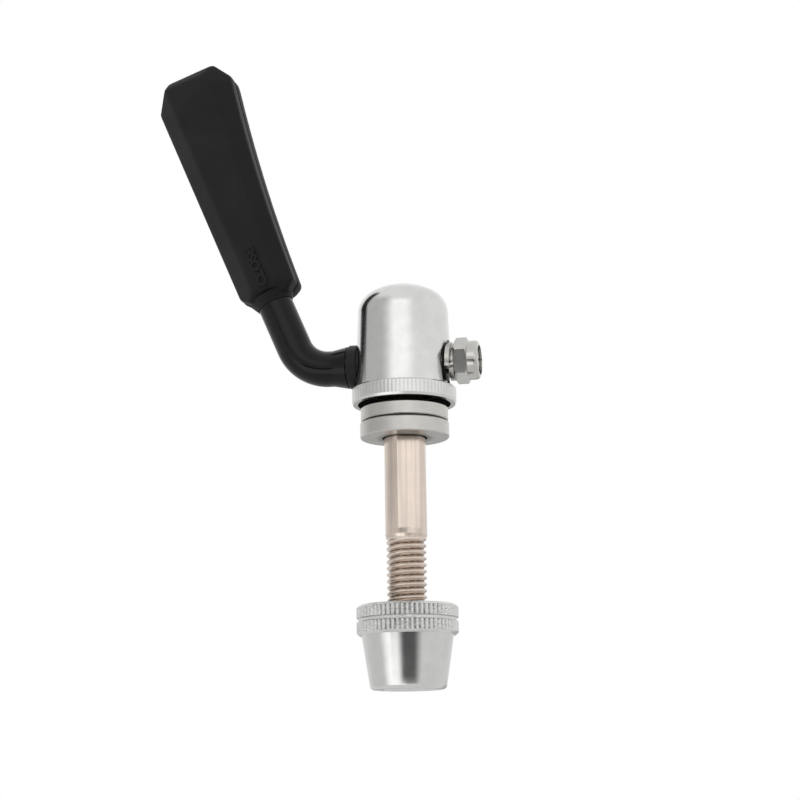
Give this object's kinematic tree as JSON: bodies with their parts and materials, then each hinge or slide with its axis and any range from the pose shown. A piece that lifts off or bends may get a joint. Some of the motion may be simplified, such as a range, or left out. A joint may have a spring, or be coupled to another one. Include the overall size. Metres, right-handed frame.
{
  "type": "cam lever",
  "caption": "Quick-release cam lever: a bent handle turns an eccentric in a domed housing, which draws an eye bolt and its knurled cone nut up against loose washers.",
  "frame": {"origin": "bolt axis at the underside of the lower washer, the face that is clamped against", "axes": "+Z along the bolt towards the domed housing, X along the lever's shaft with the handle on the -X side, -Y towards the viewer"},
  "size_m": [0.0664, 0.0206, 0.1306],
  "materials": {
    "bright_plate": "bright chrome with fine turning marks",
    "washer_steel": "satin turned steel",
    "nut_steel": "satin zinc",
    "bolt_plate": "warm nickel plate",
    "arm_paint": "semi-gloss black",
    "grip_plastic": "fine matte black",
    "bush_plastic": "smooth black",
    "insert_nylon": "dark nylon"
  },
  "bodies": {
    "housing": {"cam_housing": "bright_plate", "lever_bush": "bush_plastic", "stud_bush": "bush_plastic"},
    "lever": {"lever_arm": "arm_paint", "grip_front_shell": "grip_plastic", "grip_rear_shell": "grip_plastic", "lock_washer": "washer_steel", "lock_nut": "nut_steel", "lock_nut_insert": "insert_nylon"},
    "draw_bolt": {"draw_bolt": "bolt_plate"},
    "washers": {"upper_washer": "washer_steel", "lower_washer": "washer_steel"},
    "nut": {"adjusting_nut": "bright_plate"}
  },
  "joints": [
    {"name": "lever_turn", "type": "hinge", "parent": "housing", "child": "lever", "pos_m": [0, 0, 0.015], "axis": [1, 0, 0], "range_deg": [-90, 90]},
    {"name": "bolt_draw", "type": "slide", "parent": "housing", "child": "draw_bolt", "axis": [0, 0, 1], "range_m": [-0.001, 0.001]},
    {"name": "nut_travel", "type": "slide", "parent": "draw_bolt", "child": "nut", "axis": [0, 0, 1], "range_m": [-0.0145, 0.0125]},
    {"name": "washer_slide", "type": "slide", "parent": "draw_bolt", "child": "washers", "axis": [0, 0, 1], "range_m": [-0.0195, 0.0015]}
  ],
  "couplings": [
    {"joint": "bolt_draw", "follows": "lever_turn", "m_per_rad": -0.000636}
  ]
}
